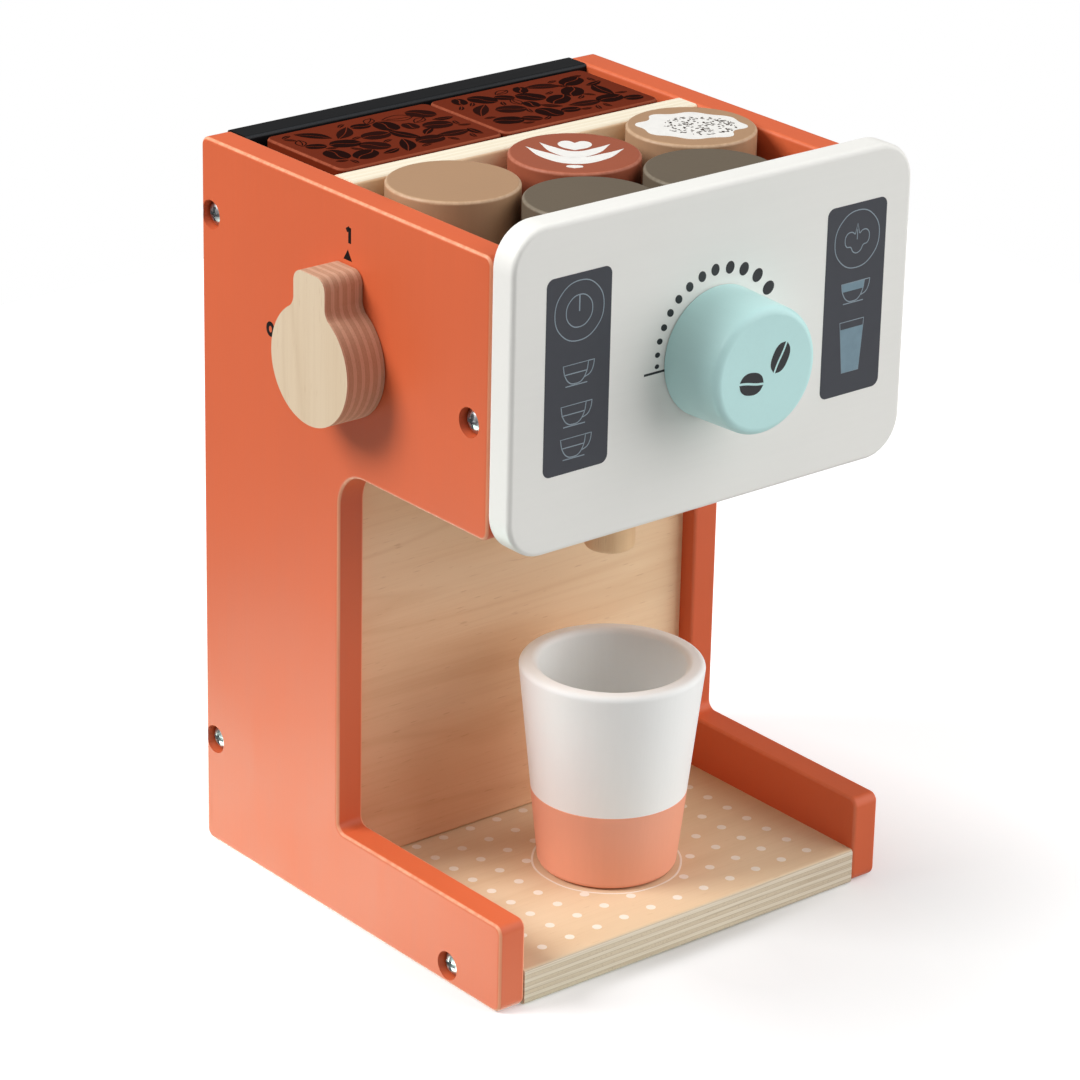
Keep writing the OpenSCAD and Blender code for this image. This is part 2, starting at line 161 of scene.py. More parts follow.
cameraPlan = {
    "place": (-0.8234, -0.9888, 0.6494),
    "azimuth": -39.703,  # degrees round the toy from its front
    "elevation": 22.695,
    "roll": 1.291,
    "lens": 146.73,  # mm
    "sensor": 36,
}


def setCamera(plan):
    turn, tilt, roll = (math.radians(plan[key]) for key in ("azimuth", "elevation", "roll"))
    level = math.cos(tilt)
    back = Vector((math.sin(turn) * level, -math.cos(turn) * level, math.sin(tilt)))
    right = Vector((math.cos(turn), math.sin(turn), 0))
    up = back.cross(right)
    rolledRight = math.cos(roll) * right + math.sin(roll) * up
    rolledUp = math.cos(roll) * up - math.sin(roll) * right
    data = bpy.data.cameras.new("camera")
    data.lens, data.sensor_width = plan["lens"], plan["sensor"]
    camera = bpy.data.objects.new("camera", data)
    bpy.context.scene.collection.objects.link(camera)
    facing = Matrix((rolledRight, rolledUp, back)).transposed().to_4x4()
    camera.matrix_world = Matrix.Translation(plan["place"]) @ facing
    bpy.context.scene.camera = camera


lightPlan = {
    "target": (0, 0, 0.12),
    "ambient": 0.13,
    "seen": 1.0,  # what the camera sees behind the toy
    "mirrored": 0.25,  # what shows in the paint, varnish and steel
    "lamps": {
        # high on the left, a little behind
        "key": {"place": (-1.2, 0.59, 1.22), "size": 0.82, "power": 29.5},
        # wide and soft, from the front on the right
        "fill": {"place": (1.42, -1.23, 1.0), "size": 2.7, "power": 48.8},
        "top": {"place": (-0.45, -0.5, 1.5), "size": 1.8, "power": 4.6},
    },
}


def setLight(name, plan, target):
    data = bpy.data.lights.new(name, "AREA")
    data.shape, data.size, data.energy = "SQUARE", plan["size"], plan["power"]
    lamp = bpy.data.objects.new(name, data)
    lamp.location = plan["place"]
    lamp.rotation_euler = (Vector(target) - lamp.location).to_track_quat("-Z", "Y").to_euler()
    bpy.context.scene.collection.objects.link(lamp)


def setWorld(plan):
    world = bpy.data.worlds.new("studio")
    bpy.context.scene.world = world
    world.use_nodes = True
    tree = world.node_tree
    background = tree.nodes["Background"]
    background.inputs["Color"].default_value = (1, 1, 1, 1)
    path = tree.nodes.new("ShaderNodeLightPath").outputs
    straight = combine(tree, "MAXIMUM", path["Is Camera Ray"], path["Is Transmission Ray"])
    direct = combine(tree, "MULTIPLY", straight, plan["seen"])
    glossy = combine(tree, "MULTIPLY", path["Is Glossy Ray"], plan["mirrored"])
    level = combine(tree, "MAXIMUM", combine(tree, "MAXIMUM", direct, glossy), plan["ambient"])
    tree.links.new(level, background.inputs["Strength"])


floorPlan = {
    "size": 0.55, "drop": 0.0002, "roughness": 0.9, "gloss": 0.1,
    "color": (0.74, 0.74, 0.74),  # tone that the camera sees
    # tone that lights the toy from below, in front and at the left
    "bounceFront": (0.6, 0.6, 0.6), "bounceLeft": (0.4, 0.4, 0.4), "blend": 0.08,
    # light that only the camera sees: it turns the lit floor white and keeps the toy's shadow.
    # It is weaker close to the toy's front and right, which paints shade on the floor there.
    # each end is a distance and a strength, and liftShape makes the rings oval
    "liftAt": (-0.005, 0.054, 0), "liftShape": (1, 0.6, 1),
    "liftFrom": (0.015, 0.05), "liftTo": (0.145, 0.57),
    # bright floor that shows in the paint above it, between two distances
    "shine": 5.3, "shineColor": (0.72, 1.0, 0.88), "shineAt": (-0.13, 0.05, 0),
    "near": 0.06, "far": 0.25,
}


def makeFloor(plan):
    bm = bmesh.new()
    bmesh.ops.create_grid(bm, x_segments=1, y_segments=1, size=plan["size"])
    bmesh.ops.translate(bm, vec=(0, 0, -plan["drop"]), verts=bm.verts)
    mesh = bpy.data.meshes.new("floor")
    bm.to_mesh(mesh)
    bm.free()
    floor = bpy.data.objects.new("floor", mesh)
    bpy.context.scene.collection.objects.link(floor)
    material, tree, shader, outputs = startMaterial("floorWhite")
    mesh.materials.append(material)
    shader.inputs["Roughness"].default_value = plan["roughness"]
    shader.inputs["Specular IOR Level"].default_value = plan["gloss"]
    spot = outputs["Object"]
    path = tree.nodes.new("ShaderNodeLightPath").outputs
    axes = axesOf(tree, spot)
    across = combine(tree, "SUBTRACT", axes[0], axes[1])
    front = ranged(tree, across, -plan["blend"], plan["blend"], 0, 1)
    bounce = mixed(tree, front, plan["bounceLeft"], plan["bounceFront"])
    cover = mixed(tree, path["Is Camera Ray"], bounce, plan["color"])
    tree.links.new(cover, shader.inputs["Base Color"])
    glow = mixed(tree, path["Is Glossy Ray"], (1, 1, 1), plan["shineColor"])
    tree.links.new(glow, shader.inputs["Emission Color"])
    reach = farFrom(tree, spot, plan["shineAt"])
    close = ranged(tree, reach, plan["near"], plan["far"], plan["shine"], 0)
    shine = combine(tree, "MULTIPLY", path["Is Glossy Ray"], close)
    # weaker light close to the toy: painted shade on the floor at its front and right
    away = farFrom(tree, mapped(tree, spot, plan["liftShape"], plan["liftAt"]), (0, 0, 0))
    (start, low), (end, high) = plan["liftFrom"], plan["liftTo"]
    lift = combine(tree, "MULTIPLY", path["Is Camera Ray"], ranged(tree, away, start, end, low, high))
    tree.links.new(combine(tree, "ADD", shine, lift), shader.inputs["Emission Strength"])


setCamera(cameraPlan)
for lampName, lamp in lightPlan["lamps"].items():
    setLight(lampName, lamp, lightPlan["target"])
setWorld(lightPlan)
makeFloor(floorPlan)
bpy.context.scene.view_settings.view_transform = "Standard"
print("camera, lights and floor set")


# materials: the scales of their patterns are per metre, across and along the grain

paintLook = {
    "fibre": (520, 16), "fibreShare": 0.35, "cloud": 22, "peel": 1400, "peelShare": 0.4,
    "bump": 0.00006, "relief": 0.5,
}


def paint(name, color, grain=2, roughness=0.44, show=0.03, gloss=0.35, edgeHighlight=None, highlightAxis=2):
    look = paintLook
    material, tree, shader, outputs = startMaterial(name)
    spot = outputs["Object"]
    fibre = noise(tree, mapped(tree, spot, alongGrain(grain, *look["fibre"])), 1, 4, 0.6)
    cloud = noise(tree, spot, look["cloud"], 2)
    peel = noise(tree, spot, look["peel"], 2)
    share = look["fibreShare"]
    tone = combine(tree, "ADD", combine(tree, "MULTIPLY", fibre, share),
                   combine(tree, "MULTIPLY", cloud, 1 - share))
    cover = mixed(tree, ranged(tree, tone, 0.35, 0.65, 0, 1),
                  shaded(color, 1 - show), shaded(color, 1 + show))
    if edgeHighlight:  # painted highlight: lighter paint on the softened edges of the faces that look along the given axis
        steep = combine(tree, "ABSOLUTE", axesOf(tree, outputs["Normal"])[highlightAxis])
        glint = combine(tree, "MULTIPLY", ranged(tree, steep, 0.15, 0.45, 0, 1),
                      ranged(tree, steep, 0.98, 0.85, 0, 1))
        glint = combine(tree, "MULTIPLY", glint, ranged(tree, fibre, 0.35, 0.65, 0.55, 1))
        cover = mixed(tree, glint, cover, edgeHighlight)
    height = combine(tree, "ADD", fibre, combine(tree, "MULTIPLY", peel, look["peelShare"]))
    surface(tree, shader, cover, tone, (roughness - 0.05, roughness + 0.07), gloss,
            height, look["bump"], look["relief"])
    return material


woodLook = {
    "slow": (30, 3.9), "rings": 11.0, "broad": (26, 6), "fibre": (1000, 22), "flecks": (1500, 150),
    "show": 0.3, "rough": (0.5, 0.62), "gloss": 0.3, "bump": 0.00008, "relief": 0.5,
}


def woodTone(light, middle, ring, fleck):
    tones = {"light": light, "middle": middle, "ring": ring, "fleck": fleck}
    return {key: srgb(*tone) for key, tone in tones.items()}


birchTone = woodTone((253, 220, 176), (246, 206, 158), (226, 180, 130), (194, 142, 94))


def woodFace(tree, spot, grain, tone, place):
    # rings are the level lines of a slow, stretched noise; fibres and flecks lie over them
    def grown(pattern, *settings):
        stretched = mapped(tree, spot, alongGrain(grain, *woodLook[pattern]), place)
        return noise(tree, stretched, 1, *settings)

    slow, broad = grown("slow", 2, 0.45, 0.6), grown("broad", 2, 0.5)
    fibre, flecks = grown("fibre", 4, 0.65), grown("flecks", 1, 0.5)
    rings = combine(tree, "PINGPONG", combine(tree, "MULTIPLY", slow, woodLook["rings"]), 1.0)
    color = mixed(tree, ranged(tree, broad, 0.35, 0.65, 0, 1), tone["light"], tone["middle"])
    layers = ((rings, 0.6, 1.0, "ring"), (fibre, 0.48, 0.8, "ring"), (flecks, 0.69, 0.78, "fleck"))
    for pattern, low, high, key in layers:
        color = mixed(tree, ranged(tree, pattern, low, high, 0, woodLook["show"]), color, tone[key])
    return color, fibre


def varnish(tree, shader, color, fibre, height):
    look = woodLook
    surface(tree, shader, color, fibre, look["rough"], look["gloss"], height,
            look["bump"], look["relief"])


def solidWood(name, grain, tone):
    material, tree, shader, outputs = startMaterial(name)
    color, fibre = woodFace(tree, outputs["Object"], grain, tone, (0, 0, 0))
    varnish(tree, shader, color, fibre, fibre)
    return material


plyLook = {
    "wander": (60, 14), "sway": 0.0007,  # metres that the plies stray from their plane
    "lines": (2600, 26), "pores": (1500, 2400), "grit": 0.4,
}


def edgeTone(long, cross, glue):  # plies whose grain runs along the edge, end grain, glue
    return {"long": srgb(*long), "cross": srgb(*cross), "glue": srgb(*glue)}


birchEdge = edgeTone((230, 217, 196), (218, 201, 175), (158, 126, 94))


def plywood(name, thickAxis, grain, lowFace, ply, edges, tone=birchTone, place=(0, 0, 0), heart=None):
    # lowFace and ply are in millimetres, and heart is painted shade: the wood turns deeper and redder
    # round one place, standing in for shade and orange bounce light
    look = plyLook
    material, tree, shader, outputs = startMaterial(name)
    spot = outputs["Object"]
    face, fibre = woodFace(tree, spot, grain, tone, place)
    # painted shade: the face grows darker and redder towards the place given in heart
    if heart:
        away = farFrom(tree, spot, heart["place"])
        deep = ranged(tree, away, heart["near"], heart["far"], 1, 0)
        face = mixed(tree, deep, face, heart["color"], "MULTIPLY")
    depth = combine(tree, "SUBTRACT", axesOf(tree, spot)[thickAxis], lowFace / 1000)
    wander = noise(tree, mapped(tree, spot, alongGrain(grain, *look["wander"])), 1, 2)
    sway = combine(tree, "MULTIPLY", combine(tree, "SUBTRACT", wander, 0.5), look["sway"])
    depth = combine(tree, "ADD", depth, sway)
    layer = combine(tree, "PINGPONG", combine(tree, "DIVIDE", depth, ply / 1000), 1.0)
    lines = noise(tree, mapped(tree, spot, alongGrain(grain, *look["lines"])), 1, 3, 0.6)
    pores = noise(tree, mapped(tree, spot, alongGrain(thickAxis, *look["pores"])), 1, 2, 0.7)
    cross = ranged(tree, layer, 0.42, 0.58, 0, 1)
    middle = combine(tree, "ABSOLUTE", combine(tree, "SUBTRACT", layer, 0.5))
    glue = combine(tree, "SUBTRACT", 1.0, middle)
    holes = combine(tree, "MULTIPLY", cross, ranged(tree, pores, 0.55, 0.75, 0, 0.5))
    edge = mixed(tree, cross, edges["long"], edges["cross"])
    edge = mixed(tree, ranged(tree, glue, 0.9, 1.0, 0, 0.55), edge, edges["glue"])
    edge = mixed(tree, ranged(tree, lines, 0.5, 0.85, 0, 0.6), edge, edges["glue"])
    edge = mixed(tree, holes, edge, edges["glue"])
    straight = combine(tree, "ABSOLUTE", axesOf(tree, outputs["Normal"])[thickAxis])
    color = mixed(tree, ranged(tree, straight, 0.6, 0.85, 0, 1), edge, face)
    grit = combine(tree, "MULTIPLY", combine(tree, "ADD", pores, lines), look["grit"])
    varnish(tree, shader, color, fibre, combine(tree, "ADD", fibre, grit))
    return material


def zincSteel(name):
    material, tree, shader, outputs = startMaterial(name)
    spot = outputs["Object"]
    cloud = noise(tree, spot, 900, 3)
    shader.inputs["Metallic"].default_value = 1.0
    surface(tree, shader, mixed(tree, cloud, (0.40, 0.40, 0.41), (0.58, 0.58, 0.59)), cloud,
            (0.24, 0.4), 0.5, noise(tree, spot, 3000, 2), 0.00002, 0.4)
    return material


def printInk(name, color, roughness=0.4, show=0.06, gloss=0.35):
    # a screen-printed layer with slightly uneven cover
    material, tree, shader, outputs = startMaterial(name)
    spot = outputs["Object"]
    cover = noise(tree, spot, 260, 3, 0.6)
    ink = mixed(tree, ranged(tree, cover, 0.3, 0.7, 0, 1),
                shaded(color, 1 - show), shaded(color, 1 + show))
    surface(tree, shader, ink, cover, (roughness - 0.05, roughness + 0.06), gloss,
            noise(tree, spot, 4200, 2), 0.00002, 0.4)
    return material


orangeTone = srgb(217, 101, 60)
# painted highlight: the edge colours of the two orange paints stand in for highlights on the rounded
# edges; the copy for the left board, which faces the key lamp, has the brighter one
orangePaint = paint("orangePaint", orangeTone, show=0.02, edgeHighlight=srgb(226, 116, 76), highlightAxis=0)
orangeHighlit = paint("orangeHighlit", orangeTone, show=0.02, edgeHighlight=srgb(246, 172, 134), highlightAxis=0)
creamPaint = paint("creamPaint", srgb(240, 239, 234), grain=0, show=0.012)
# where a paint below is given an edge colour, it is a painted highlight on its rounded edges
blackPaint = paint("blackPaint", srgb(16, 17, 19), grain=0, gloss=0.12, edgeHighlight=srgb(44, 46, 49))
turquoisePaint = paint("turquoisePaint", srgb(197, 237, 235), grain=1, roughness=0.4, show=0.015)
tanPaint = paint("tanPaint", srgb(174, 138, 106), gloss=0.25, edgeHighlight=srgb(204, 172, 140))
rustPaint = paint("rustPaint", srgb(156, 84, 60), gloss=0.15, edgeHighlight=srgb(188, 116, 92))
umberPaint = paint("umberPaint", srgb(103, 92, 77), gloss=0.2, edgeHighlight=srgb(134, 124, 108))
beanPaint = paint("beanPaint", srgb(106, 39, 19), grain=0, roughness=0.52, gloss=0.03,
                  edgeHighlight=srgb(158, 84, 60))
cupWhite = paint("cupWhite", srgb(248, 249, 247), show=0.012)
cupCoral = paint("cupCoral", srgb(243, 168, 139), show=0.02)
steel = zincSteel("steel")
dowelWood = solidWood("dowelWood", 2, birchTone)
wallPly = plywood(
    "wallPly", 1, 0, nodeBox("inner_wall")[0].y, 1.25,
    edgeTone((246, 237, 216), (241, 230, 206), (222, 205, 174)),
    woodTone((253, 226, 188), (247, 213, 171), (228, 186, 140), (196, 147, 102)),
    # painted shade and bounce light: darker, redder wood towards the wall's lower left corner
    heart={"place": (-0.075, nodeBox("inner_wall")[0].y / 1000, 0.02), "near": 0.02, "far": 0.14,
           "color": (0.8, 0.59, 0.53)})
basePly = plywood(
    "basePly", 2, 0, nodeBox("base_board")[0].z, 1.35, birchEdge,
    woodTone((229, 204, 172), (223, 195, 160), (211, 178, 140), (190, 153, 114)), (0.3, 0, 0))
floorPly = plywood("floorPly", 2, 0, nodeBox("drinks_floor")[0].z, 1.35, birchEdge, place=(0.7, 0, 0))
knobPly = plywood(
    "knobPly", 0, 2, nodeBox("side_knob")[0].x, 1.5,
    edgeTone((216, 178, 150), (200, 160, 132), (172, 128, 102)),
    woodTone((226, 206, 178), (218, 195, 165), (203, 176, 144), (184, 148, 112)))
inkDark = printInk("inkDark", srgb(46, 48, 50))
inkBlack = printInk("inkBlack", srgb(14, 9, 9), gloss=0.15)
inkSlate = printInk("inkSlate", srgb(63, 65, 72), show=0.03)
inkLine = printInk("inkLine", srgb(138, 152, 162))
inkFill = printInk("inkFill", srgb(120, 145, 158))
inkWhite = printInk("inkWhite", srgb(240, 238, 233), show=0.02)
inkBase = printInk("inkBase", srgb(239, 229, 214), show=0.02)
inkCocoa = printInk("inkCocoa", srgb(74, 62, 54))
inkRoast = printInk("inkRoast", srgb(30, 9, 6), roughness=0.68, show=0.12, gloss=0.02)
inkHusk = printInk("inkHusk", srgb(40, 13, 8), roughness=0.68, show=0.12, gloss=0.02)

finishOfSlot = {
    "orange_paint": orangePaint, "cream_paint": creamPaint, "black_paint": blackPaint,
    "birch_dowel": dowelWood, "turquoise_paint": turquoisePaint, "cup_paint": cupWhite,
    "tan_paint": tanPaint, "rust_paint": rustPaint, "umber_paint": umberPaint,
    "bean_paint": beanPaint, "zinc_steel": steel,
}
finishOfNode = {
    "inner_wall": wallPly, "base_board": basePly, "drinks_floor": floorPly,
    "beans_floor": floorPly, "side_knob": knobPly, "left_side": orangeHighlit,
}
for nodeName, part in frame["nodes"].items():
    part.data.materials.clear()
    part.data.materials.append(finishOfNode.get(nodeName) or finishOfSlot[slotOfNode[nodeName]])
print("finishes on the boards, loose pieces and fittings")


# pieces are drawn in millimetres and made metres here

def finishPiece(bm, name, body, materials, replaced=(), sharp=30):
    bmesh.ops.remove_doubles(bm, verts=bm.verts, dist=0.0002)
    bmesh.ops.scale(bm, vec=(0.001, 0.001, 0.001), verts=bm.verts)
    bmesh.ops.recalc_face_normals(bm, faces=bm.faces)
    mesh = bpy.data.meshes.new(name)
    bm.to_mesh(mesh)
    bm.free()
    mesh.shade_smooth()
    mesh.set_sharp_from_angle(angle=math.radians(sharp))
    for material in materials:
        mesh.materials.append(material)
    piece = bpy.data.objects.new(name, mesh)
    bpy.context.scene.collection.objects.link(piece)
    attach(piece, body)
    if replaced:
        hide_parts(*replaced)
    print("made", name, len(mesh.polygons), "faces")


inkLayer = {"sunk": -0.03, "top": 0.06, "second": 0.1}  # mm from the printed face


def onFace(place, across, up):  # stands a flat drawing on a face, its thickness pointing outwards
    across, up = Vector(across), Vector(up)
    matrix = Matrix((across, up, across.cross(up))).transposed().to_4x4()
    matrix.translation = place
    return matrix


def inLayer(matrix, top):  # middle of a layer that ends at this height
    return matrix @ Matrix.Translation((0, 0, (top + inkLayer["sunk"]) / 2))


def addPart(bm, part, matrix, index):  # adds one closed shape, in one material, to the piece
    for face in part.faces:
        face.material_index = index
    bmesh.ops.transform(part, matrix=matrix, verts=part.verts)
    mesh = bpy.data.meshes.new("part")
    part.to_mesh(mesh)
    part.free()
    bm.from_mesh(mesh)
    bpy.data.meshes.remove(mesh)


def addCurve(bm, data, matrix, index):
    holder = bpy.data.objects.new("drawing", data)
    mesh = bpy.data.meshes.new_from_object(holder)
    part = bmesh.new()
    part.from_mesh(mesh)
    bpy.data.objects.remove(holder)
    bpy.data.curves.remove(data)
    bpy.data.meshes.remove(mesh)
    addPart(bm, part, matrix, index)


def addSpline(data, points, closed, corners):  # corners lists the points that stay sharp
    spline = data.splines.new("BEZIER")
    spline.bezier_points.add(len(points) - 1)
    spline.use_cyclic_u = closed
    for i, (knot, point) in enumerate(zip(spline.bezier_points, points)):
        knot.co = (*point, 0)
        knot.handle_left_type = knot.handle_right_type = "VECTOR" if i in corners else "AUTO"


def drawShape(bm, matrix, points, corners=(), top=inkLayer["top"], index=0, fine=6):
    # a filled outline
    data = bpy.data.curves.new("outline", "CURVE")
    data.dimensions, data.fill_mode, data.resolution_u = "2D", "BOTH", fine
    data.extrude = (top - inkLayer["sunk"]) / 2
    addSpline(data, points, True, corners)
    addCurve(bm, data, inLayer(matrix, top), index)


def drawLine(bm, matrix, points, width, closed=False, corners=(), top=inkLayer["top"], fine=6):
    data = bpy.data.curves.new("line", "CURVE")
    data.dimensions, data.resolution_u = "3D", fine
    data.bevel_depth, data.bevel_resolution, data.use_fill_caps = width / 2, 1, True
    addSpline(data, points, closed, corners)
    flat = Matrix.Diagonal((1, 1, (top - inkLayer["sunk"]) / width, 1))
    addCurve(bm, data, inLayer(matrix, top) @ flat, 0)


def turnedPoints(points, place, turn=0):
    spin = Matrix.Rotation(math.radians(turn), 2)
    return [tuple(spin @ Vector(point) + Vector(place)) for point in points]


def ovalPoints(place, wide, tall, count=8):
    angles = [2 * math.pi * i / count for i in range(count)]
    return [(place[0] + wide / 2 * math.cos(angle), place[1] + tall / 2 * math.sin(angle))
            for angle in angles]


def raiseFace(part, height):  # a flat outline becomes a thin closed layer
    raised = bmesh.ops.extrude_face_region(part, geom=part.faces[:])["geom"]
    lifted = [item for item in raised if isinstance(item, bmesh.types.BMVert)]
    bmesh.ops.translate(part, vec=(0, 0, height), verts=lifted)


def drawOval(bm, matrix, place, wide, tall, sides, turn=0.0, top=inkLayer["top"]):
    part = bmesh.new()
    bmesh.ops.create_circle(part, cap_ends=True, segments=sides, radius=0.5)
    bmesh.ops.scale(part, vec=(wide, tall, 1), verts=part.verts)
    raiseFace(part, top - inkLayer["sunk"])
    spin = Matrix.Rotation(math.radians(turn), 4, "Z")
    addPart(bm, part, matrix @ Matrix.Translation((*place, inkLayer["sunk"])) @ spin, 0)


def drawPlate(bm, matrix, low, high, radius):  # rounded rectangle
    part = bmesh.new()
    bmesh.ops.create_grid(part, x_segments=1, y_segments=1, size=0.5)
    bmesh.ops.scale(part, vec=(high[0] - low[0], high[1] - low[1], 1), verts=part.verts)
    bmesh.ops.bevel(part, geom=part.verts[:], offset=radius, offset_type="OFFSET", segments=8,
                    profile=0.5, affect="VERTICES", material=-1)
    raiseFace(part, inkLayer["top"] - inkLayer["sunk"])
    middle = ((low[0] + high[0]) / 2, (low[1] + high[1]) / 2, inkLayer["sunk"])
    addPart(bm, part, matrix @ Matrix.Translation(middle), 0)


def drawBean(bm, matrix, place, long, wide, turn, slit, curl, index=0, fine=6):
    # two halves along a curved slit, each with two round shoulders
    shoulder = 0.36
    for side in (-1, 1):
        half = [(-long / 2, side * slit / 2), (-long / 4, side * slit / 2 + curl),
                (long / 4, side * slit / 2 - curl), (long / 2, side * slit / 2),
                (long * shoulder, side * wide * shoulder), (0, side * wide / 2),
                (-long * shoulder, side * wide * shoulder)]
        drawShape(bm, matrix, turnedPoints(half, place, turn), (0, 3), index=index, fine=fine)


# prints on the front panel

panelPlan = {
    "displays": (((-65.5, 172.3), (-41.1, 233.5)), ((43.5, 172.3), (67.8, 233.5))),
    "displayRound": 2.6,
    "line": 0.42,
    "powerPlace": (-53.1, 222.0), "powerRing": 18.4, "powerMark": 9.9, "powerDrop": 0.1,
    "powerStem": (-0.2, 4.7), "powerStemWidth": 1.4,
    "cupPlaces": ((-53.5, 202.7), (-54.0, 190.2), (-53.9, 180.0)),
    "steamPlace": (56.0, 222.0), "steamRing": 18.3,
    "halfCupPlace": (55.6, 205.2),
    "glassTop": 195.9, "glassFill": 193.6, "glassFoot": 179.4,
    "glassLeft": 50.5, "glassRight": 60.4, "glassFootLeft": 52.1, "glassFootRight": 59.0,
    "dots": ((-22.8, 198.0), (-22.7, 201.6), (-22.0, 205.7), (-20.5, 209.7), (-18.2, 213.8),
             (-15.1, 217.4), (-11.0, 220.4), (-6.2, 222.6), (-1.1, 223.7), (4.7, 223.3),
             (10.3, 221.7), (15.8, 218.6), (20.4, 213.7)),
    "dotCentre": (0.5, 199.0), "dotSmall": 1.5, "dotLarge": 4.2,
    "dotShape": (1.12, 0.96),  # along the radius and across it
    "scaleLine": ((-27.7, 196.2), (-19.7, 196.2)), "scaleWidth": 0.75,
}
iconShapes = {  # in millimetres round the place of the icon
    "bowl": [(-5.2, 3.1), (4.3, 3.1), (3.6, -0.2), (1.7, -2.6), (-0.3, -3.0), (-2.4, -2.6),
             (-4.4, -0.2)],
    "handle": [(4.3, 3.1), (6.5, 3.1), (6.1, 0.9), (4.9, -0.9), (3.0, -1.6)],
    "saucer": [(-4.2, -3.4), (4.0, -3.4)],
    "drink": [(-5.1, 3.0), (4.2, 3.0), (3.9, 0.5), (-4.7, 0.5)],
    "drinkLine": [(-4.9, 0.3), (3.8, 0.3)],
    "puff": [(-0.9, 1.6), (-2.4, 2.5), (-4.3, 2.0), (-5.0, -0.1), (-4.2, -1.9), (-2.6, -2.3),
             (-1.6, -3.8), (0, -4.5), (1.6, -3.8), (2.6, -2.3), (4.2, -1.9), (5.0, -0.1),
             (4.3, 2.0), (2.4, 2.5), (0.9, 1.6)],
    "tip": [(-0.9, 1.6), (0, 4.9), (0.9, 1.6)],
    "stem": [(0, -0.2), (0, 3.0)],
}
panelFace = onFace((0, nodeBox("front_panel")[0].y, 0), (1, 0, 0), (0, 0, 1))


def iconLine(bm, points, closed=False, corners=(), width=panelPlan["line"]):
    drawLine(bm, panelFace, points, width, closed, corners, inkLayer["second"])


def iconFill(bm, points):
    drawShape(bm, panelFace, points, (0, 1, 2, 3), inkLayer["second"], 1)


def cupIcon(bm, place, filled):  # outline of a cup with its drink, handle and saucer
    shapes = {key: turnedPoints(iconShapes[key], place) for key in iconShapes}
    iconLine(bm, shapes["bowl"], True, (0, 1))
    iconLine(bm, shapes["handle"], corners=(0, 1))
    iconLine(bm, shapes["saucer"], corners=(0, 1))
    if filled:
        iconFill(bm, shapes["drink"])
    else:
        iconLine(bm, shapes["drinkLine"], corners=(0, 1))


def makePanelPrints(plan):
    plates = bmesh.new()
    for low, high in plan["displays"]:
        drawPlate(plates, panelFace, low, high, plan["displayRound"])
    finishPiece(plates, "panelDisplays", "case", [inkSlate])

    icons = bmesh.new()
    x, z = plan["powerPlace"]
    for size, drop in ((plan["powerRing"], 0), (plan["powerMark"], plan["powerDrop"])):
        iconLine(icons, ovalPoints((x, z - drop), size, size), True)
    stem = [(x, z + end) for end in plan["powerStem"]]
    iconLine(icons, stem, corners=(0, 1), width=plan["line"] * plan["powerStemWidth"])
    for place in plan["cupPlaces"]:
        cupIcon(icons, place, False)
    x, z = plan["steamPlace"]
    iconLine(icons, ovalPoints((x, z), plan["steamRing"], plan["steamRing"]), True)
    for key, corners in (("puff", ()), ("tip", (0, 1, 2)), ("stem", (0, 1))):
        iconLine(icons, [(x + u, z + v) for u, v in iconShapes[key]], corners=corners)
    cupIcon(icons, plan["halfCupPlace"], True)
    rims = [(plan["glassLeft"], plan["glassTop"]), (plan["glassRight"], plan["glassTop"])]
    feet = [(plan["glassFootRight"], plan["glassFoot"]), (plan["glassFootLeft"], plan["glassFoot"])]
    iconLine(icons, rims + feet, True, (0, 1, 2, 3))
    share = (plan["glassTop"] - plan["glassFill"]) / (plan["glassTop"] - plan["glassFoot"])
    fills = [tuple(Vector(rim).lerp(Vector(foot), share)) for rim, foot in zip(rims, reversed(feet))]
    iconFill(icons, fills + feet)
    finishPiece(icons, "panelIcons", "case", [inkLine, inkFill], sharp=50)

    dots = bmesh.new()
    along, across = plan["dotShape"]
    for i, place in enumerate(plan["dots"]):
        share = i / (len(plan["dots"]) - 1)
        size = plan["dotSmall"] + (plan["dotLarge"] - plan["dotSmall"]) * share
        outward = Vector(place) - Vector(plan["dotCentre"])
        turn = math.degrees(math.atan2(outward.y, outward.x))
        drawOval(dots, panelFace, place, size * along, size * across, 24, turn)
    drawLine(dots, panelFace, plan["scaleLine"], plan["scaleWidth"], corners=(0, 1))
    finishPiece(dots, "panelScale", "case", [inkDark])


makePanelPrints(panelPlan)


# marks round the side knob

sidePlan = {
    "one": (-0.8, 228.3), "tall": 4.9, "stroke": 1.4, "stemAt": 0.45,
    "flagAt": (-1.1, 0.27), "flagDrop": 0.15,  # the flag starts at this share of the height
    "zero": (-40.4, 187.1), "zeroWide": 2.9,
    "arrows": (((-1.2, 220.4), 0), ((-33.0, 188.0), 90)),  # place and turn
    "arrowWide": 4.2, "arrowTall": 3.3,
}
sideFace = onFace((nodeBox("left_side")[0].x, 0, 0), (0, -1, 0), (0, 0, 1))


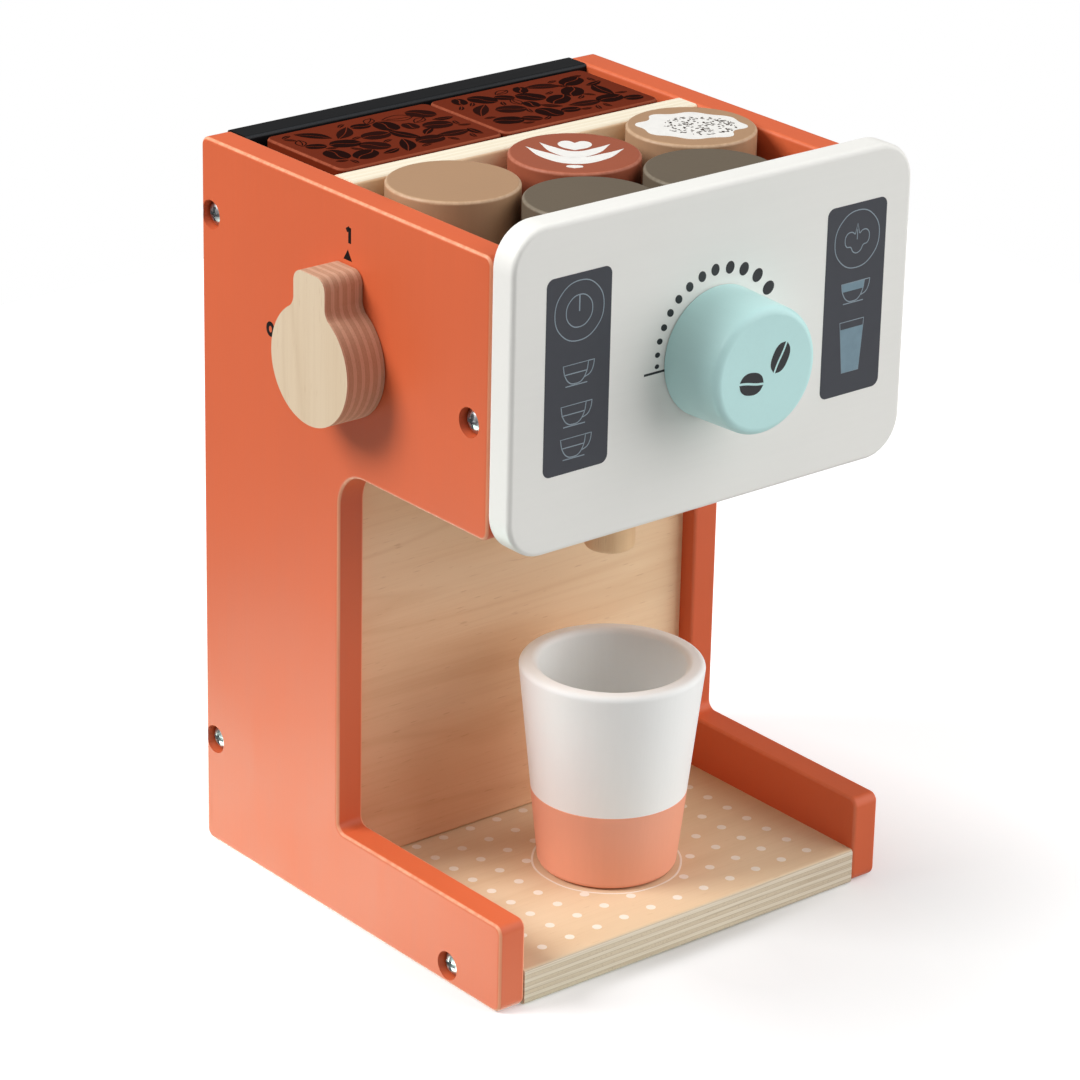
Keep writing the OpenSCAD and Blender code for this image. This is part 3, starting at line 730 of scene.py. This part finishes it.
def makeSideMarks(plan):
    bm = bmesh.new()
    tall, stroke = plan["tall"], plan["stroke"]
    u, v = plan["one"]
    stem, top = u + plan["stemAt"], v + tall / 2
    flagOut, flagShare = plan["flagAt"]
    flag = [(u + flagOut, v + tall * flagShare), (stem, top - plan["flagDrop"])]
    drawLine(bm, sideFace, [(stem, v - tall / 2), (stem, top)], stroke, corners=(0, 1))
    drawLine(bm, sideFace, flag, stroke, corners=(0, 1))
    drawLine(bm, sideFace, ovalPoints(plan["zero"], plan["zeroWide"], tall - stroke), stroke, True)
    wide, high = plan["arrowWide"], plan["arrowTall"]
    arrow = [(-wide / 2, 0), (wide / 2, 0), (0, high)]
    for place, turn in plan["arrows"]:
        drawShape(bm, sideFace, turnedPoints(arrow, place, turn), (0, 1, 2))
    finishPiece(bm, "sideMarks", "case", [inkBlack], sharp=50)


makeSideMarks(sidePlan)


# beans on the dial

dialPlan = {
    "beans": ((5.8, 201.4, 10.0, 6.4, 63), (-5.3, 195.4, 9.6, 7.0, -10)),  # place, size, turn
    "slit": 0.75, "curl": 0.12,
}
dialFace = onFace((0, nodeBox("dial")[0].y, 0), (1, 0, 0), (0, 0, 1))


def makeDialBeans(plan):
    bm = bmesh.new()
    for x, z, long, wide, turn in plan["beans"]:
        drawBean(bm, dialFace, (x, z), long, wide, turn, plan["slit"], plan["curl"], fine=10)
    finishPiece(bm, "dialBeans", "dial", [inkDark])


makeDialBeans(dialPlan)


# dots and ring on the base board

basePlan = {
    "first": (-54.2, -67.8), "pitch": (11.0, 9.65), "columns": 11, "rows": 9, "dot": 3.1,
    "ringPlace": (0, -34.0), "ring": 47.6, "ringLine": 0.7,
}
baseFace = onFace((0, 0, nodeBox("base_board")[1].z), (1, 0, 0), (0, 1, 0))


def makeBaseDots(plan):
    bm = bmesh.new()
    wallFront = nodeBox("inner_wall")[0].y
    dot, ring, middle = plan["dot"], plan["ring"], plan["ringPlace"]
    clear = ring / 2 + dot / 2
    for column in range(plan["columns"]):
        for row in range(plan["rows"]):
            step = Vector((column * plan["pitch"][0], row * plan["pitch"][1]))
            place = Vector(plan["first"]) + step
            if (place - Vector(middle)).length > clear and place.y + dot / 2 < wallFront:
                drawOval(bm, baseFace, place, dot, dot, 14)
    drawLine(bm, baseFace, ovalPoints(middle, ring, ring), plan["ringLine"], True, fine=16)
    finishPiece(bm, "baseDots", "case", [inkBase], sharp=50)


makeBaseDots(basePlan)


# pictures on the drinks

def topFace(node, turn=0.0):
    low, high = nodeBox(node)
    turn = math.radians(turn)
    return onFace(((low.x + high.x) / 2, (low.y + high.y) / 2, high.z),
                  (math.cos(turn), math.sin(turn), 0), (-math.sin(turn), math.cos(turn), 0))


milkPlan = {  # poured milk: a heart in a stack of crescents, with a drop at the tip
    "turn": -39.7,
    "heart": [(0, 2.2), (4.4, 5.6), (5.0, 9.4), (2.5, 11.4), (0, 9.4), (-2.5, 11.4), (-5.0, 9.4),
              (-4.4, 5.6)],
    # half width, height of the tips, lowest point, thickness
    "crescents": ((10.8, 9.0, -2.1, 6.2), (15.0, 4.8, -8.3, 6.4)),
    "steps": (-1, -0.62, 0, 0.62, 1), "fullness": 6,
    "drop": [(0, -15.6), (2.6, -13.9), (0, -12.7), (-2.6, -13.9)],
}


def makeMilkHeart(plan):
    bm = bmesh.new()
    face = topFace("drink_leaf", plan["turn"])
    drawShape(bm, face, plan["heart"], (0, 4))

    def bow(crescent, side, steps):  # lower or upper edge of a crescent
        half, tips, lowest, thick = crescent
        return [(half * t, lowest + (tips - lowest) * t * t
                 + side * thick / 2 * (1 - t ** plan["fullness"])) for t in steps]

    for crescent in plan["crescents"]:
        inner = list(reversed(plan["steps"][1:-1]))
        drawShape(bm, face, bow(crescent, -1, plan["steps"]) + bow(crescent, 1, inner), (0, 4))
    drawShape(bm, face, plan["drop"], (0,))
    finishPiece(bm, "milkHeart", "drink_leaf", [inkWhite])


makeMilkHeart(milkPlan)

foamPlan = {
    "turn": -39.7, "wide": 35, "tall": 28, "bumps": 8, "uneven": 0.2, "dents": (0.3, 1.0),
    "grains": 210, "grainSmall": 0.35, "grainLarge": 1.0, "grainShape": (1.4, 0.8),
    "cocoaShift": 0.07, "cocoaReach": 0.33, "seed": 4,  # shares of the foam's size
}


def makeFoam(plan):
    draw = random.Random(plan["seed"])
    face = topFace("drink_foam", plan["turn"])
    foam = bmesh.new()
    edge = []
    count = plan["bumps"] * 2
    for i in range(count):
        angle = 2 * math.pi * i / count
        reach = 0.5 * (1 - (i % 2) * plan["uneven"] * draw.uniform(*plan["dents"]))
        edge.append((plan["wide"] * reach * math.cos(angle), plan["tall"] * reach * math.sin(angle)))
    drawShape(foam, face, edge, fine=8)
    finishPiece(foam, "milkFoam", "drink_foam", [inkWhite])
    cocoa = bmesh.new()
    shift, spread = plan["cocoaShift"], plan["cocoaReach"]
    long, narrow = plan["grainShape"]
    placed = 0
    while placed < plan["grains"]:
        across, up = draw.uniform(-1, 1), draw.uniform(-1, 1)
        if across * across + up * up > 1:
            continue
        size = draw.uniform(plan["grainSmall"], plan["grainLarge"])
        place = (plan["wide"] * (shift + spread * across), plan["tall"] * spread * up)
        drawOval(cocoa, face, place, size * long, size * narrow, 6, draw.uniform(0, 180),
                 inkLayer["second"])
        placed += 1
    finishPiece(cocoa, "cocoaGrains", "drink_foam", [inkCocoa])


makeFoam(foamPlan)


# beans and leaves on the two blocks

beanPlan = {
    "margin": 2.4, "line": 0.42, "gap": 0.3, "crowding": 0.77, "tries": 900,
    # kind, half length, how many at most
    "kinds": (("bean", 5.4, 9), ("leaf", 5.6, 8), ("outline", 5.2, 6), ("bean", 3.6, 14),
              ("leaf", 3.3, 16), ("outline", 3.0, 16), ("leaf", 1.9, 60)),
    # length and width of a motif, as shares of its half length
    "beanSize": (1.9, 1.36), "leafSize": (2.2, 0.9), "outlineSize": (2.1, 1.05),
    "beanSlit": 0.5, "beanCurl": 0.12,
    "seeds": {"bean_block_left": 11, "bean_block_right": 23},
}


def scattered(draw, wide, deep, plan):  # places motifs of falling size where they find room
    placed = []
    for kind, reach, most in plan["kinds"]:
        count = 0
        for _ in range(plan["tries"]):
            if count == most:
                break
            spot = Vector((draw.uniform(reach - wide / 2, wide / 2 - reach),
                           draw.uniform(reach - deep / 2, deep / 2 - reach)))
            if all((spot - other).length > (reach + taken) * plan["crowding"] + plan["gap"]
                   for other, taken, _ in placed):
                placed.append((spot, reach, kind))
                count += 1
    return placed


def drawLeaf(bm, matrix, place, long, wide, turn, slit, index):
    # two halves that end in points and bow to the same side
    bow, tailBow = wide * 0.14, wide * 0.12
    for side in (-1, 1):
        half = [(-long / 2, side * slit / 2), (0, side * slit / 2 + bow),
                (long / 2, side * slit / 2), (long * 0.16, side * wide * 0.46 + bow),
                (-long * 0.2, side * wide * 0.42 + tailBow)]
        drawShape(bm, matrix, turnedPoints(half, place, turn), (0, 2), index=index, fine=4)


def drawLeafLine(bm, matrix, place, long, wide, turn, line):
    outline = [(-long / 2, 0), (-long * 0.16, wide / 2), (long * 0.2, wide * 0.4), (long / 2, 0),
               (long * 0.2, -wide * 0.4), (-long * 0.16, -wide / 2)]
    rib = [(-long * 0.5, 0), (0, 0.12 * wide), (long * 0.34, 0)]
    drawLine(bm, matrix, turnedPoints(outline, place, turn), line, True, (0, 3), fine=4)
    drawLine(bm, matrix, turnedPoints(rib, place, turn), line, False, (0,), fine=4)


def makeBeanPicture(name, node, plan):
    draw = random.Random(plan["seeds"][node])
    bm = bmesh.new()
    face = topFace(node)
    low, high = nodeBox(node)
    wide, deep = high.x - low.x - 2 * plan["margin"], high.y - low.y - 2 * plan["margin"]
    for place, reach, kind in scattered(draw, wide, deep, plan):
        turn = draw.uniform(0, 360)
        long, broad = (reach * share for share in plan[kind + "Size"])
        if kind == "bean":
            drawBean(bm, face, place, long, broad, turn, plan["beanSlit"],
                     reach * plan["beanCurl"], draw.choice((0, 0, 1)))
        elif kind == "leaf":
            drawLeaf(bm, face, place, long, broad, turn, plan["line"], draw.choice((0, 1)))
        else:
            drawLeafLine(bm, face, place, long, broad, turn, plan["line"])
    finishPiece(bm, name, node, [inkRoast, inkHusk], sharp=50)


makeBeanPicture("beanPictureLeft", "bean_block_left", beanPlan)
makeBeanPicture("beanPictureRight", "bean_block_right", beanPlan)


# cup, turned from one profile, with its foot dipped in coral paint

cupPlan = {  # radii and heights
    "height": 70, "foot": 22.1, "rim": 29.62, "mouth": 23.58, "hollowFoot": 20.28,
    "hollowDepth": 54, "footRound": 2, "rimRound": 2.1, "hollowRound": 8, "steps": 128,
    "band": 26.4, "film": 0.07,  # height and thickness of the coral paint
    "skin": 0.6, "bottom": 3,  # how far from the outside, and from the hollow, a face may be painted
}


def makeCup(plan):
    low, high = nodeBox("cup")
    bm = bmesh.new()
    foot, rim, tall = plan["foot"], plan["rim"], plan["height"]
    band, film = plan["band"], plan["film"]
    slope = (rim - foot) / tall
    bandX = foot + slope * band
    inside = tall - plan["hollowDepth"]
    profile = [(0, 0), (foot + film, 0), (bandX + film, band), (bandX, band + film), (rim, tall),
               (plan["mouth"], tall), (plan["hollowFoot"], inside), (0, inside)]
    verts = [bm.verts.new((x, 0, z)) for x, z in profile]
    for start, end in zip(verts, verts[1:]):
        bm.edges.new((start, end))
    for index, key in ((1, "footRound"), (4, "rimRound"), (5, "rimRound"), (6, "hollowRound")):
        bmesh.ops.bevel(bm, geom=[verts[index]], offset=plan[key], offset_type="OFFSET",
                        segments=10, profile=0.5, affect="VERTICES", material=-1)
    bmesh.ops.spin(bm, geom=bm.verts[:] + bm.edges[:], cent=(0, 0, 0), axis=(0, 0, 1),
                   angle=2 * math.pi, steps=plan["steps"], use_merge=True)
    bmesh.ops.remove_doubles(bm, verts=bm.verts, dist=0.001)
    for face in bm.faces:
        middle = face.calc_center_median()
        wall = math.hypot(middle.x, middle.y) > foot + slope * middle.z - plan["skin"]
        outside = wall or middle.z < inside - plan["bottom"]
        face.material_index = 1 if outside and middle.z < band + film else 0
    place = ((low.x + high.x) / 2, (low.y + high.y) / 2, low.z)
    bmesh.ops.translate(bm, vec=place, verts=bm.verts)
    finishPiece(bm, "cupBody", "cup", [cupWhite, cupCoral], replaced=("cup",), sharp=40)


makeCup(cupPlan)
